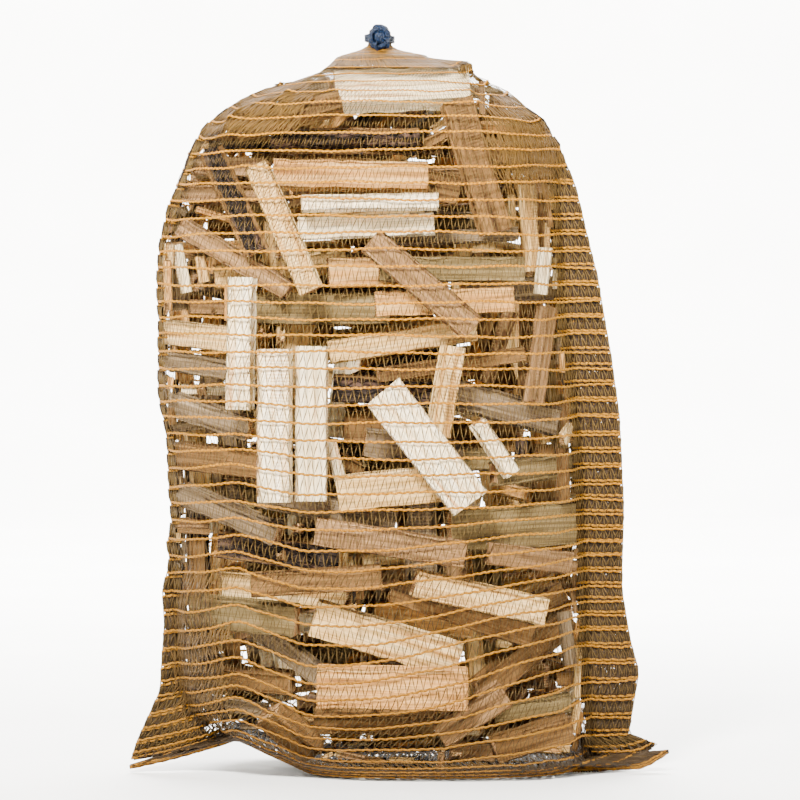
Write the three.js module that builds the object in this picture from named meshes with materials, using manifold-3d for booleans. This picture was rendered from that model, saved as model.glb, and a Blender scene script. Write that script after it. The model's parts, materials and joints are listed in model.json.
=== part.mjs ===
// A net sack of split kindling, tied at the neck and standing on its base.
// Millimetres, +Z up, the front faces -Y. The origin is the middle of the base, on the ground.
import * as THREE from "three";
import { mergeVertices } from "three/addons/utils/BufferGeometryUtils.js";
import Module from "manifold-3d";

const wasm = await Module();
wasm.setup();

// ---- Driving dimensions ----

const SECTION_POINTS = 40; // points round the sack at each height
const SECTION_POWER = 2.8; // 2 is an ellipse, more is squarer
const NET_WALL = 2.5; // thickness of the net's solid
const NECK_HOLE = 4; // radius of the channel left in the gathered neck
const FLAP_THICKNESS = 5; // two layers of slack net lying together
const FLAP_Y = -26; // where the slack side and the corners of the sack hang
const STICK_TO_NET = 2.5; // clearances
const STICK_TO_STICK = 0.7;
const SETTLE_STEP = 1;
const SLIDE_STEP = 2;
const MOST_SLIDE = 30;
const MIDDLE_Z = 350;
const TURN_WITH_WALL = 0.75; // how far a stick turns to follow the net that holds it

// The sack from the ground up: height, middle, half width and half depth.
const STATIONS = [
  { z: 0, x: 38, wide: 134, deep: 92 },
  { z: 8, x: 38, wide: 146, deep: 106 },
  { z: 22, x: 28, wide: 166, deep: 122 },
  { z: 40, x: 10, wide: 184, deep: 132 },
  { z: 60, x: -7, wide: 201, deep: 138 },
  { z: 100, x: -16, wide: 208, deep: 142 },
  { z: 180, x: -19, wide: 209, deep: 144 },
  { z: 260, x: -23, wide: 209, deep: 144 },
  { z: 340, x: -28, wide: 211, deep: 142 },
  { z: 385, x: -33, wide: 212, deep: 140 },
  { z: 450, x: -37, wide: 208, deep: 136 },
  { z: 530, x: -40, wide: 205, deep: 132 },
  { z: 590, x: -33, wide: 195, deep: 126 },
  { z: 630, x: -25, wide: 187, deep: 118 },
  { z: 655, x: -22, wide: 174, deep: 110 },
  { z: 680, x: -20, wide: 142, deep: 98 },
  { z: 700, x: -13, wide: 103, deep: 82 },
  { z: 712, x: 0, wide: 81, deep: 66 },
  { z: 717, x: -14, wide: 48, deep: 40 },
  { z: 724, x: -19, wide: 20, deep: 19 },
  { z: 729, x: -19, wide: 11, deep: 11 },
  { z: 741, x: -19, wide: 11, deep: 11 },
];
const NECK = STATIONS.at(-1);
const NECK_STARTS = 712; // above this the net bunches up into the neck

// Outlines of the slack net seen from the front: the right side with its corner, and the left corner.
const RIGHT_FLAP = [
  [150, 650],
  [177, 590],
  [199, 499],
  [212, 427],
  [222, 362],
  [226, 272],
  [225, 182],
  [234, 132],
  [242, 102],
  [231, 36],
  [252, 34],
  [276, 22],
  [246, 3],
  [196, 1],
  [150, 12],
  [130, 60],
];
const LEFT_FLAP = [
  [-200, 240],
  [-233, 232],
  [-229, 214],
  [-238, 182],
  [-236, 150],
  [-240, 82],
  [-263, 32],
  [-273, 2],
  [-228, 12],
  [-193, 22],
  [-150, 38],
  [-120, 60],
];

// The sticks packed behind the front ones, as one solid: its front is set back at both sides.
const PACK_INSET = 5;
const PACK_FLOOR = 14;
const PACK_TOP = 690;
const PACK_FRONT_Y = -12;
const PACK_SIDE_Y = 36;
const PACK_MIDDLE = { left: -130, right: 90 };
const PACK_REACH = 240;

const TONES = {
  white: 0xfff2dc,
  cream: 0xf6dfb8,
  golden: 0xeec88a,
  tan: 0xcda06e,
  pink: 0xd9b59a,
  olive: 0xb09a70,
  grey: 0xb5a793,
  bark: 0x4f4436,
};

// The sticks that show at the front, nearest first, as seen from the front: the middle, the length,
// width and thickness, the angle of the length above the horizontal in degrees, and the tone.
const STICKS = [
  [4, 685, 136, 42, 26, 3, "white"],
  [-112, 544, 138, 26, 22, -66, "cream"],
  [-154, 431, 131, 27, 26, 89, "white"],
  [-121, 351, 152, 34, 28, 90, "white"],
  [-86, 352, 154, 34, 27, 90, "white"],
  [27, 330, 142, 43, 28, -52, "white"],
  [-6, 95, 149, 42, 30, -1, "golden"],
  [80, 182, 136, 29, 27, -13, "cream"],
  [23, 489, 134, 30, 22, -41, "pink"],
  [-164, 80, 112, 24, 24, -2, "tan"],
  [77, 607, 138, 34, 24, -74, "tan"],
  [-47, 596, 155, 31, 26, -1, "golden"],
  [-28, 569, 136, 17, 30, 1, "white"],
  [-32, 546, 137, 24, 26, 2, "white"],
  [-12, 140, 152, 38, 27, -17, "cream"],
  [94, 329, 64, 18, 20, -56, "white"],
  [-165, 572, 118, 28, 22, -63, "bark"],
  [143, 420, 100, 17, 24, 75, "pink"],
  [-112, 668, 110, 24, 20, 16, "tan"],
  [107, 366, 112, 32, 24, -15, "grey"],
  [4, 433, 150, 25, 26, 9, "cream"],
  [45, 472, 138, 27, 24, 2, "golden"],
  [112, 248, 132, 44, 26, 2, "olive"],
  [-53, 634, 150, 29, 28, 0, "bark"],
  [72, 66, 80, 30, 24, 32, "pink"],
  [139, 98, 124, 30, 24, 35, "tan"],
  [-198, 359, 96, 26, 20, -15, "grey"],
  [-163, 515, 130, 22, 22, -30, "pink"],
  [-8, 237, 150, 28, 26, -9, "pink"],
  [-3, 289, 118, 38, 24, 6, "cream"],
  [-108, 38, 66, 34, 24, -55, "tan"],
  [-28, 28, 122, 24, 26, 0, "tan"],
  [132, 40, 84, 28, 24, 14, "tan"],
  [-153, 162, 112, 34, 24, -4, "olive"],
  [52, 504, 145, 26, 24, 0, "olive"],
  [58, 249, 104, 22, 20, 88, "pink"],
  [46, 384, 92, 26, 22, 80, "cream"],
  [67, 420, 150, 17, 22, 8, "tan"],
  [47, 536, 145, 15, 22, 3, "grey"],
  [-172, 612, 84, 22, 24, -3, "pink"],
  [-176, 586, 92, 20, 24, 0, "pink"],
  [62, 164, 150, 26, 22, -19, "tan"],
  [-113, 120, 112, 23, 24, -38, "grey"],
  [-183, 252, 118, 24, 24, -20, "grey"],
  [-183, 314, 96, 30, 22, -5, "tan"],
  [-193, 438, 92, 27, 22, -6, "cream"],
  [-193, 408, 92, 22, 22, -8, "grey"],
  [-84, 465, 152, 34, 24, 0, "olive"],
  [136, 146, 96, 24, 22, 25, "tan"],
  [-70, 268, 140, 30, 24, -12, "grey"],
  [120, 640, 96, 26, 20, -12, "tan"],
  [150, 300, 96, 26, 20, 4, "olive"],
  [130, 500, 110, 26, 20, 4, "grey"],
  [150, 200, 96, 24, 20, -8, "pink"],
  [-80, 200, 130, 26, 20, 4, "tan"],
];

const SEED = 20;

// ---- Helpers ----

// Even numbers from 0 to 1 that are the same on every run.
function randomSource(seed) {
  let state = seed;
  return () => {
    state = (state + 0x6d2b79f5) | 0;
    let t = Math.imul(state ^ (state >>> 15), 1 | state);
    t = (t + Math.imul(t ^ (t >>> 7), 61 | t)) ^ t;
    return ((t ^ (t >>> 14)) >>> 0) / 4294967296;
  };
}

const random = randomSource(SEED);
const between = (low, high) => low + (high - low) * random();

// The sack's middle, half width and half depth at a height.
function sectionAt(z) {
  const top = STATIONS.findIndex((s) => s.z >= z);
  if (top <= 0) return { ...STATIONS.at(top) };
  const [low, high] = [STATIONS[top - 1], STATIONS[top]];
  const share = (z - low.z) / (high.z - low.z);
  const mix = (key) => THREE.MathUtils.lerp(low[key], high[key], share);
  return { z, x: mix("x"), wide: mix("wide"), deep: mix("deep") };
}

// 1 on the net, less inside it and more outside.
function outness(point, inset) {
  const s = sectionAt(point.z);
  const across = Math.abs(point.x - s.x) / Math.max(1, s.wide - inset);
  const through = Math.abs(point.y) / Math.max(1, s.deep - inset);
  return across ** SECTION_POWER + through ** SECTION_POWER;
}

// The front of the sack at a place seen from the front.
function frontY(x, z) {
  const s = sectionAt(z);
  const across = Math.min(1, Math.abs(x - s.x) / s.wide) ** SECTION_POWER;
  return -s.deep * (1 - across) ** (1 / SECTION_POWER);
}

// The three flat faces at the packed sticks' front: the middle one and the two set back beside it.
const PACK_SLOPE = (PACK_SIDE_Y - PACK_FRONT_Y) / (PACK_REACH + PACK_MIDDLE.left);
const PACK_FACES = [
  () => PACK_FRONT_Y,
  (x) => PACK_FRONT_Y + PACK_SLOPE * (PACK_MIDDLE.left - x),
  (x) => PACK_FRONT_Y + PACK_SLOPE * (x - PACK_MIDDLE.right),
];
const packFrontY = (x) => Math.max(...PACK_FACES.map((face) => face(x)));

// A closed mesh as a manifold-3d solid.
function solidOf(geometry) {
  const bare = geometry.index ? geometry.toNonIndexed() : geometry.clone();
  bare.deleteAttribute("normal");
  bare.deleteAttribute("uv");
  const merged = mergeVertices(bare, 1e-4);
  const vertProperties = new Float32Array(merged.attributes.position.array);
  const triVerts = new Uint32Array(merged.index.array);
  return new wasm.Manifold(new wasm.Mesh({ numProp: 3, vertProperties, triVerts }));
}

// A manifold-3d solid as a mesh.
function geometryOf(solid) {
  const { vertProperties, triVerts } = solid.getMesh();
  const geometry = new THREE.BufferGeometry();
  geometry.setAttribute("position", new THREE.BufferAttribute(vertProperties, 3));
  geometry.setIndex(new THREE.BufferAttribute(triVerts, 1));
  geometry.computeVertexNormals();
  return geometry;
}

// A closed skin through rings of equal length, lowest ring first, each anticlockwise from above.
function loft(rings) {
  const count = rings[0].length;
  const positions = rings.flat().flatMap((p) => [p.x, p.y, p.z]);
  const index = [];
  for (let level = 0; level + 1 < rings.length; level++) {
    for (let i = 0; i < count; i++) {
      const [a, b] = [level * count + i, level * count + ((i + 1) % count)];
      index.push(a, b, b + count, a, b + count, a + count);
    }
  }
  const caps = [rings[0], rings.at(-1)];
  caps.forEach((ring, cap) => {
    const middle = ring.reduce((sum, p) => sum.add(p), new THREE.Vector3());
    middle.divideScalar(count);
    const hub = positions.push(middle.x, middle.y, middle.z) / 3 - 1;
    const first = cap * (rings.length - 1) * count;
    for (let i = 0; i < count; i++) {
      const [a, b] = [first + i, first + ((i + 1) % count)];
      index.push(...(cap ? [hub, a, b] : [hub, b, a]));
    }
  });
  const geometry = new THREE.BufferGeometry();
  geometry.setAttribute("position", new THREE.Float32BufferAttribute(positions, 3));
  geometry.setIndex(index);
  return geometry;
}

// One ring of the sack: a squared oval.
function ring({ x, z, wide, deep }) {
  const squash = (value) => Math.sign(value) * Math.abs(value) ** (2 / SECTION_POWER);
  return Array.from({ length: SECTION_POINTS }, (_, i) => {
    const angle = (2 * Math.PI * (i + 0.5)) / SECTION_POINTS;
    const [across, through] = [squash(Math.cos(angle)), squash(Math.sin(angle))];
    return new THREE.Vector3(x + wide * across, deep * through, z);
  });
}

function namedMesh(name, geometry, color, roughness) {
  const material = new THREE.MeshStandardMaterial({ color, roughness, metalness: 0 });
  const mesh = new THREE.Mesh(geometry, material);
  mesh.name = name;
  return mesh;
}

// ---- The net sack ----

// An outline seen from the front, as a thin upright slab.
function slab(outline, thickness, y) {
  const shape = new THREE.Shape(outline.map(([x, z]) => new THREE.Vector2(x, z)));
  const geometry = new THREE.ExtrudeGeometry(shape, { depth: thickness, bevelEnabled: false });
  geometry.rotateX(Math.PI / 2);
  geometry.translate(0, y + thickness / 2, 0);
  return geometry;
}

// The sack's inside, open through the gathered neck.
function cavity() {
  const inner = STATIONS.map((s) => {
    const gathered = s.z > NECK_STARTS;
    const room = (half) => (gathered ? NECK_HOLE : half - NET_WALL);
    return { x: gathered ? NECK.x : s.x, z: s.z, wide: room(s.wide), deep: room(s.deep) };
  });
  inner[0].z += NET_WALL;
  inner.at(-1).z += NET_WALL;
  return solidOf(loft(inner.map(ring)));
}

function netSack() {
  const skin = solidOf(loft(STATIONS.map(ring)));
  const right = solidOf(slab(RIGHT_FLAP, FLAP_THICKNESS, FLAP_Y));
  const left = solidOf(slab(LEFT_FLAP, FLAP_THICKNESS, FLAP_Y));
  const sack = skin.add(right).add(left).subtract(cavity());
  return namedMesh("net_sack", geometryOf(sack), 0xd08a3c, 0.55);
}

// ---- The tie ----

const TIE_HOLE = NECK.wide * 1.12 + 0.6; // radius, clear of the squared neck
const TIE_TURNS = 3;
const TWINE = 2.6; // diameter
const TIE_BASE = 730;
const KNOT = { radius: 8, y: -18, z: 738 };

// Turns of twine lying on each other round the neck, with the knot in front.
function tie() {
  const profile = [new THREE.Vector2(TIE_HOLE, 0)];
  for (let turn = 0; turn < TIE_TURNS; turn++) {
    const low = turn * TWINE;
    profile.push(new THREE.Vector2(TIE_HOLE + TWINE * 0.7, low));
    profile.push(new THREE.Vector2(TIE_HOLE + TWINE, low + TWINE / 2));
  }
  const height = TIE_TURNS * TWINE;
  profile.push(new THREE.Vector2(TIE_HOLE + TWINE * 0.7, height));
  profile.push(new THREE.Vector2(TIE_HOLE, height), profile[0].clone());
  const turns = new THREE.LatheGeometry(profile, 24);
  turns.rotateX(Math.PI / 2);
  turns.translate(NECK.x, 0, TIE_BASE);
  const knot = new THREE.SphereGeometry(KNOT.radius, 14, 10);
  knot.scale(1.15, 0.55, 1.2);
  knot.translate(NECK.x + 2, KNOT.y, KNOT.z);
  return namedMesh("tie", geometryOf(solidOf(turns).add(solidOf(knot))), 0x16294a, 0.4);
}

// ---- The sticks ----

// A split stick's cross-section inside width by thickness: four corners, or a bark back on a round one.
function sectionOf(width, thickness, tone) {
  const [w, t] = [width / 2, thickness / 2];
  if (tone === "bark") {
    const arc = Array.from({ length: 6 }, (_, i) => Math.PI - (Math.PI * i) / 5);
    return new THREE.Shape(arc.map((a) => new THREE.Vector2(w * Math.cos(a), t - 2 * t * Math.sin(a))));
  }
  const skew = () => between(0, 0.07);
  const corners = [
    [-w * (1 - skew()), -t],
    [w, -t * (1 - skew())],
    [w * (1 - skew()), t],
    [-w, t * (1 - skew())],
  ];
  return new THREE.Shape(corners.map(([x, y]) => new THREE.Vector2(x, y)));
}

// The stick's own axes: its length, its width and its thickness, turned with the net that holds it.
function axesOf(x, z, degrees) {
  const step = 6;
  const slope = (dx, dz) =>
    (TURN_WITH_WALL * (frontY(x + dx, z + dz) - frontY(x - dx, z - dz))) / (2 * step);
  const across = new THREE.Vector3(1, slope(step, 0), 0);
  const up = new THREE.Vector3(0, slope(0, step), 1);
  const inward = new THREE.Vector3().crossVectors(up, across).normalize();
  const level = across.normalize();
  const rise = new THREE.Vector3().crossVectors(level, inward);
  const angle = THREE.MathUtils.degToRad(degrees);
  const along = level.clone().multiplyScalar(Math.cos(angle)).addScaledVector(rise, Math.sin(angle));
  return [along, new THREE.Vector3().crossVectors(inward, along), inward];
}

// Whether two boxes, each a middle, three axes and three half sizes, are closer than a gap:
// they are apart if any of 15 directions shows them apart.
function tooClose(one, other, gap) {
  const apart = new THREE.Vector3().subVectors(other.middle, one.middle);
  const reach = (box, direction) =>
    box.axes.reduce((sum, axis, i) => sum + box.half[i] * Math.abs(axis.dot(direction)), 0);
  const directions = [...one.axes, ...other.axes];
  for (const a of one.axes) {
    for (const b of other.axes) {
      const normal = new THREE.Vector3().crossVectors(a, b);
      if (normal.lengthSq() > 1e-6) directions.push(normal.normalize());
    }
  }
  return directions.every((d) => Math.abs(apart.dot(d)) < reach(one, d) + reach(other, d) + gap);
}

function cornersOf(box) {
  const signs = [-1, 1];
  return signs.flatMap((i) =>
    signs.flatMap((j) =>
      signs.map((k) =>
        box.middle
          .clone()
          .addScaledVector(box.axes[0], i * box.half[0])
          .addScaledVector(box.axes[1], j * box.half[1])
          .addScaledVector(box.axes[2], k * box.half[2]),
      ),
    ),
  );
}

function inTheSack(box) {
  const inset = NET_WALL + STICK_TO_NET;
  return cornersOf(box).every((c) => c.z > inset && outness(c, inset) < 1);
}

function clearOfPack(box) {
  const corners = cornersOf(box);
  return PACK_FACES.some((face) => corners.every((c) => c.y < face(c.x) - STICK_TO_STICK));
}

// Moves a stick back from the net until it is inside and clear of the sticks before it. If there is
// no such place it first slides towards the middle of the sack.
function settle(box, placed) {
  const start = box.middle.clone();
  const goal = new THREE.Vector3(sectionAt(start.z).x, start.y, MIDDLE_Z);
  const slideWay = goal.sub(start).normalize();
  const fits = () =>
    inTheSack(box) && clearOfPack(box) && !placed.some((p) => tooClose(p, box, STICK_TO_STICK));
  for (let slide = 0; slide <= MOST_SLIDE; slide += SLIDE_STEP) {
    box.middle.copy(start).addScaledVector(slideWay, slide);
    while (box.middle.y < PACK_SIDE_Y) {
      if (fits()) return;
      box.middle.y += SETTLE_STEP;
    }
  }
}

function frontSticks() {
  const placed = [];
  return STICKS.map(([x, z, length, width, thickness, degrees, tone], i) => {
    const shape = sectionOf(width, thickness, tone);
    const middle = new THREE.Vector3(x, frontY(x, z), z);
    const half = [length / 2, width / 2, thickness / 2];
    const box = { middle, axes: axesOf(x, z, degrees), half };
    settle(box, placed);
    placed.push(box);
    const geometry = new THREE.ExtrudeGeometry(shape, { depth: length, bevelEnabled: false });
    geometry.translate(0, 0, -length / 2);
    const name = `stick_${String(i + 1).padStart(2, "0")}`;
    const stick = namedMesh(name, geometry, TONES[tone], 0.85);
    const [along, across, inward] = box.axes;
    stick.applyMatrix4(new THREE.Matrix4().makeBasis(across, inward, along));
    stick.position.copy(box.middle);
    return stick;
  });
}

// The rest of the sticks, packed behind the front ones, as one solid out to the net.
function packedSticks() {
  const levels = STATIONS.filter((s) => s.z > PACK_FLOOR && s.z < PACK_TOP);
  const ends = [PACK_FLOOR, PACK_TOP].map(sectionAt);
  const inner = [ends[0], ...levels, ends[1]].map((s) => ({
    ...s,
    wide: s.wide - PACK_INSET,
    deep: s.deep - PACK_INSET,
  }));
  const plan = new THREE.Shape([
    new THREE.Vector2(-PACK_REACH, packFrontY(-PACK_REACH)),
    new THREE.Vector2(PACK_MIDDLE.left, PACK_FRONT_Y),
    new THREE.Vector2(PACK_MIDDLE.right, PACK_FRONT_Y),
    new THREE.Vector2(PACK_REACH, packFrontY(PACK_REACH)),
    new THREE.Vector2(PACK_REACH, PACK_REACH),
    new THREE.Vector2(-PACK_REACH, PACK_REACH),
  ]);
  const behind = new THREE.ExtrudeGeometry(plan, { depth: PACK_TOP * 2, bevelEnabled: false });
  const pile = solidOf(loft(inner.map(ring))).intersect(solidOf(behind));
  return namedMesh("packed_sticks", geometryOf(pile), TONES.pink, 0.9);
}

// ---- The bundle ----

const bundle = new THREE.Group();
bundle.add(netSack(), tie(), packedSticks(), ...frontSticks());

// The origin is the middle of the base: the sack's box is centred over it.
const box = new THREE.Box3().setFromObject(bundle, true);
const middle = box.getCenter(new THREE.Vector3());
bundle.position.set(-middle.x, -middle.y, -box.min.z);

export default bundle;
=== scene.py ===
import json
import math

import bmesh
import bpy
import numpy as np
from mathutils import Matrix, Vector
from mathutils.bvhtree import BVHTree


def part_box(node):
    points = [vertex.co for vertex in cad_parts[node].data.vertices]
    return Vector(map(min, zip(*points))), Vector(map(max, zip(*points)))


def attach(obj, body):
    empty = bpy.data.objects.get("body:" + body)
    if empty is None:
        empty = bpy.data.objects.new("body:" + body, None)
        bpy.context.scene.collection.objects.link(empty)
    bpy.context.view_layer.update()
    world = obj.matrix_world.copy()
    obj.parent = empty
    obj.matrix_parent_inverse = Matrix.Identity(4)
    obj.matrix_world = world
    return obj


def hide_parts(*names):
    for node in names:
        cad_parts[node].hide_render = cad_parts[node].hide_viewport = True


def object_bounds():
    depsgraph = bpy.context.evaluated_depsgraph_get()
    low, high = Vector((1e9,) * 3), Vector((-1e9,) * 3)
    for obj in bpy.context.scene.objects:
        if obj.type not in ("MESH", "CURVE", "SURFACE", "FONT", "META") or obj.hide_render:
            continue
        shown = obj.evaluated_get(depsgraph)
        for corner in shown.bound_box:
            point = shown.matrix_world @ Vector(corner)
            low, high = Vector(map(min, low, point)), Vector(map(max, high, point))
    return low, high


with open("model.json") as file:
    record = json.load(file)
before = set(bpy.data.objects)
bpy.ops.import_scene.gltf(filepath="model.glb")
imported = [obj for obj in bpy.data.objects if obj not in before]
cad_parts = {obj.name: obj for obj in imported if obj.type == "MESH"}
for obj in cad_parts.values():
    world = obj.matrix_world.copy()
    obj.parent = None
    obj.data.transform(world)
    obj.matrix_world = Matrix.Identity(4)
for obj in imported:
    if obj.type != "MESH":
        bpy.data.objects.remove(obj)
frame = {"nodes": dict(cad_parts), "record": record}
cad_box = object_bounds()

MM = 0.001
NODES = frame["nodes"]
SLOTS = {part["node"]: part["material_slot"] for part in frame["record"]["subparts"]}
LOW, HIGH = (np.array(corner) for corner in cad_box)


# ---- Helpers ----

def unit(vectors):
    return vectors / np.maximum(np.linalg.norm(vectors, axis=-1, keepdims=True), 1e-12)


def smoothstep(low, high, value):
    t = np.clip((value - low) / (high - low), 0, 1)
    return t * t * (3 - 2 * t)


def distances_along(path):
    """How far along a path each of its points is."""
    return np.concatenate([[0], np.cumsum(np.linalg.norm(np.diff(path, axis=0), axis=1))])


def points_along(path, distances):
    """Points on a path at some distances along it."""
    along = distances_along(path)
    return np.stack([np.interp(distances, along, path[:, k]) for k in range(3)], axis=1)


def add_object(name, data):
    """Puts a new object into the scene."""
    obj = bpy.data.objects.new(name, data)
    bpy.context.scene.collection.objects.link(obj)
    return obj


def mesh_arrays(obj):
    """A mesh object's vertices and triangles as arrays."""
    mesh = obj.data
    mesh.calc_loop_triangles()
    points = np.empty(len(mesh.vertices) * 3)
    mesh.vertices.foreach_get("co", points)
    triangles = np.empty(len(mesh.loop_triangles) * 3, dtype=np.int32)
    mesh.loop_triangles.foreach_get("vertices", triangles)
    return points.reshape(-1, 3), triangles.reshape(-1, 3)


def tube_quads(rings, sides, closed):
    """Quads of a tube through rings of points; a closed tube's last ring joins its first."""
    count = rings if closed else rings - 1
    a = np.arange(count)[:, None] * sides
    b = ((np.arange(count)[:, None] + 1) % rings) * sides
    i = np.arange(sides)[None, :]
    j = (i + 1) % sides
    return np.stack([a + i, a + j, b + j, b + i], axis=-1).reshape(-1, 4)


def strip_cap(first, count, flip):
    """Closes an even ring of points with a strip of quads across it."""
    i = np.arange(count // 2 - 1)
    quads = np.stack([i, i + 1, count - 2 - i, count - 1 - i], axis=1) + first
    return quads[:, ::-1] if flip else quads


def sweep(path, normals, widths, heights, sides, closed=False):
    """A tube of oval section along a path: its points, and its quads with both ends closed.
    Its height is along the normals, of which there is one for each point or one for all."""
    ahead = np.roll(path, -1, axis=0) if closed else np.vstack([path[1:], path[-1:]])
    behind = np.roll(path, 1, axis=0) if closed else np.vstack([path[:1], path[:-1]])
    tangent = unit(ahead - behind)
    side = unit(np.cross(tangent, normals))
    up = np.cross(side, tangent)
    angles = 2 * np.pi * (np.arange(sides) + (0.25 if sides == 3 else 0.5)) / sides
    widths, heights = (np.broadcast_to(v, len(path)) for v in (widths, heights))
    across = side[:, None] * (widths[:, None] / 2 * np.cos(angles))[..., None]
    raised = up[:, None] * (heights[:, None] / 2 * np.sin(angles))[..., None]
    points = (path[:, None] + across + raised).reshape(-1, 3)
    quads = tube_quads(len(path), sides, closed)
    if not closed:
        last = (len(path) - 1) * sides
        quads = np.vstack([quads, strip_cap(0, sides, True), strip_cap(last, sides, False)])
    return points, quads


def sweep_uvs(points, quads, sides):
    """UVs for a tube: along it in metres and round it from 0 to 1."""
    ring = quads // sides
    spot = (quads % sides) / sides
    run = distances_along(points.reshape(-1, sides, 3).mean(axis=1))
    return np.stack([run[ring], spot], axis=-1)


class Builder:
    """Collects many closed shapes made of four-sided faces into one mesh."""

    def __init__(self):
        self.points, self.faces, self.uvs, self.materials = [], [], [], []
        self.count = 0

    def add(self, points, quads, uvs, materials):
        """points (n, 3), quads (m, 4), uvs (m, 4, 2), one material index or m of them."""
        self.points.append(points)
        self.faces.append(quads + self.count)
        self.uvs.append(uvs)
        self.materials.append(np.broadcast_to(materials, len(quads)))
        self.count += len(points)

    def tube(self, path, normals, widths, heights, material, closed=False, sides=4):
        """Adds a swept tube with UVs along it."""
        points, quads = sweep(path, normals, widths, heights, sides, closed)
        self.add(points, quads, sweep_uvs(points, quads, sides), material)

    def make(self, name, materials):
        """Turns what was added into one piece that rides on the part's only body."""
        points, faces = np.concatenate(self.points), np.concatenate(self.faces)
        mesh = bpy.data.meshes.new(name)
        mesh.vertices.add(len(points))
        mesh.vertices.foreach_set("co", points.ravel())
        mesh.loops.add(faces.size)
        mesh.loops.foreach_set("vertex_index", faces.ravel().astype(np.int32))
        mesh.polygons.add(len(faces))
        mesh.polygons.foreach_set("loop_start", np.arange(0, faces.size, 4, dtype=np.int32))
        mesh.polygons.foreach_set("material_index", np.concatenate(self.materials).astype(np.int32))
        layer = mesh.uv_layers.new(name="UVMap")
        layer.data.foreach_set("uv", np.concatenate(self.uvs).ravel().astype(np.float32))
        mesh.update(calc_edges=True)
        mesh.shade_smooth()
        for material in materials:
            mesh.materials.append(material)
        obj = add_object(name, mesh)
        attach(obj, "root")
        return obj


# ---- Materials ----

def srgb(code):
    """A #rrggbb colour as linear RGBA."""
    parts = [int(code[i:i + 2], 16) / 255 for i in (1, 3, 5)]
    return [((c + 0.055) / 1.055) ** 2.4 if c > 0.04045 else c / 12.92 for c in parts] + [1.0]


class Nodes:
    """Short calls to build a material's node tree."""

    def __init__(self, name):
        self.material = bpy.data.materials.new(name)
        self.material.use_nodes = True
        self.tree = self.material.node_tree
        self.shader = self.tree.nodes["Principled BSDF"]
        self.coords = self.tree.nodes.new("ShaderNodeTexCoord")

    def link(self, source, target):
        self.tree.links.new(source, target)

    def put(self, socket, value):
        if isinstance(value, bpy.types.NodeSocket):
            self.link(value, socket)
        else:
            socket.default_value = value

    def scaled(self, scale, source="UV"):
        node = self.tree.nodes.new("ShaderNodeMapping")
        node.inputs["Scale"].default_value = scale
        self.link(self.coords.outputs[source], node.inputs["Vector"])
        return node.outputs["Vector"]

    def texture(self, kind, vector, **values):
        """A texture node with its sockets set by name."""
        node = self.tree.nodes.new("ShaderNodeTex" + kind)
        self.link(vector, node.inputs["Vector"])
        for key, value in values.items():
            node.inputs[key].default_value = value
        return node

    def noise(self, vector, detail=4.0, rough=0.55, distortion=0.0):
        values = {"Scale": 1.0, "Detail": detail, "Roughness": rough, "Distortion": distortion}
        return self.texture("Noise", vector, **values).outputs["Fac"]

    def wave(self, vector, scale, distortion):
        values = {"Scale": scale, "Distortion": distortion, "Detail": 2.0}
        return self.texture("Wave", vector, **values).outputs["Fac"]

    def cell_edges(self, vector):
        """How far it is to the edge between two cells."""
        node = self.texture("Voronoi", vector, Scale=1.0)
        node.feature = "DISTANCE_TO_EDGE"
        return node.outputs["Distance"]

    def ramp(self, value, stops):
        """stops: (position, colour code or grey value)."""
        node = self.tree.nodes.new("ShaderNodeValToRGB")
        self.link(value, node.inputs["Fac"])
        elements = node.color_ramp.elements
        while len(elements) < len(stops):
            elements.new(0.5)
        for element, (place, colour) in zip(elements, stops):
            element.position = place
            element.color = srgb(colour) if isinstance(colour, str) else [colour] * 3 + [1.0]
        return node.outputs["Color"]

    def mix(self, share, one, other, mode="MIX"):
        node = self.tree.nodes.new("ShaderNodeMix")
        node.data_type = "RGBA"
        node.blend_type = mode
        self.put(node.inputs["Factor"], share)
        self.put(node.inputs["A"], one)
        self.put(node.inputs["B"], other)
        return node.outputs["Result"]

    def stained_and_shaded(self, colour, value, low, high, stain_and_shade):
        """Mixes a stain into a colour; low_down mixes in painted shade with it. low and high are a
        value and the mixed colour's share there.
        """
        return self.mix(self.ramp(value, [low, high]), colour, srgb(stain_and_shade))

    def low_down(self, colour, reach, most, soil_and_shade):
        """Darkens a colour towards the ground, up to a height: painted shade low on the sack."""
        node = self.tree.nodes.new("ShaderNodeSeparateXYZ")
        self.link(self.coords.outputs["Object"], node.inputs["Vector"])
        share = self.math("DIVIDE", node.outputs["Z"], reach)
        return self.stained_and_shaded(colour, share, (0.0, most), (1.0, 0.0), soil_and_shade)

    def math(self, operation, one, other):
        node = self.tree.nodes.new("ShaderNodeMath")
        node.operation = operation
        self.put(node.inputs[0], one)
        self.put(node.inputs[1], other)
        return node.outputs["Value"]

    def finish(self, colour, roughness, height, distance, specular=0.15):
        bump = self.tree.nodes.new("ShaderNodeBump")
        bump.inputs["Distance"].default_value = distance
        self.link(height, bump.inputs["Height"])
        self.link(bump.outputs["Normal"], self.shader.inputs["Normal"])
        self.put(self.shader.inputs["Base Color"], colour)
        self.put(self.shader.inputs["Roughness"], roughness)
        self.shader.inputs["Specular IOR Level"].default_value = specular
        return self.material


# Each tone of split wood: the pale, the common and the dark colour of its grain.
TONES = {
    "split_wood_white": ("#fff1d2", "#f8e0b0", "#c8925a"),
    "split_wood_cream": ("#f4d498", "#d6aa66", "#8e5e2a"),
    "split_wood_golden": ("#e4b674", "#c28a48", "#7a4a1e"),
    "split_wood_tan": ("#90683a", "#694a26", "#36220e"),
    "split_wood_pink": ("#aa845a", "#825f3a", "#45301a"),
    "split_wood_olive": ("#8e7950", "#6c5935", "#362b18"),
    "split_wood_grey": ("#968063", "#6b5840", "#33281c"),
}


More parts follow.
